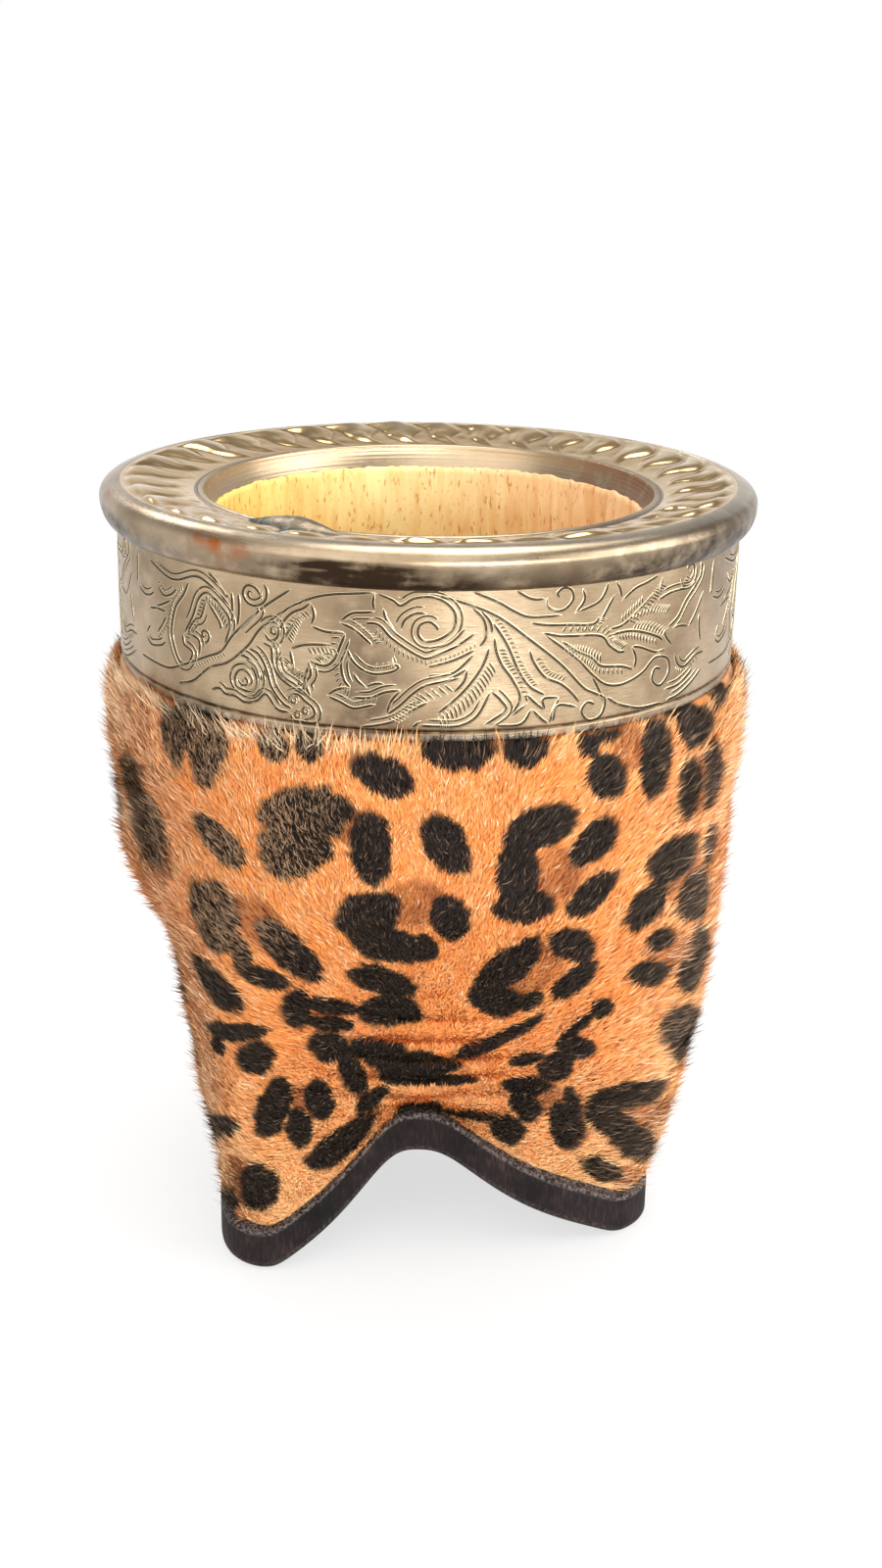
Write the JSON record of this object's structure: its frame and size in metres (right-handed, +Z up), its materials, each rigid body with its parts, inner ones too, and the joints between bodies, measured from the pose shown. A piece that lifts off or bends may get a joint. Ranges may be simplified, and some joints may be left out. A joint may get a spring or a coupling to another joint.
{
  "type": "mate cup",
  "caption": "Gourd mate cup in a spotted hide sleeve drawn in to three feet on a bent leather sole, with an engraved metal collar and a lobed rim.",
  "frame": {"origin": "on the floor under the cup's axis, centre of the bounding box in X and Y", "axes": "+Z up along the cup's axis out of the mouth; one foot points to +Y and the arch between the two other feet faces -Y"},
  "size_m": [0.086, 0.086, 0.106],
  "materials": {
    "gourd": "dry, fibrous, matt",
    "bedding": "set cement, hidden",
    "hide": "short hair, orange with black and brown rosettes",
    "sole_leather": "black cut edge, fine vertical grain",
    "collar_metal": "engraved nickel silver, light patina",
    "bead_metal": "polished nickel silver",
    "flange_metal": "embossed nickel silver",
    "lip_metal": "turned, polished nickel silver",
    "solder": "grey solder, matt"
  },
  "bodies": {
    "root": {"gourd": "gourd", "collar_bedding": "bedding", "hide_sleeve": "hide", "sole": "sole_leather", "collar_band": "collar_metal", "rim_bead": "bead_metal", "rim_flange": "flange_metal", "mouth_lip": "lip_metal", "solder_fillet": "solder"}
  },
  "joints": []
}
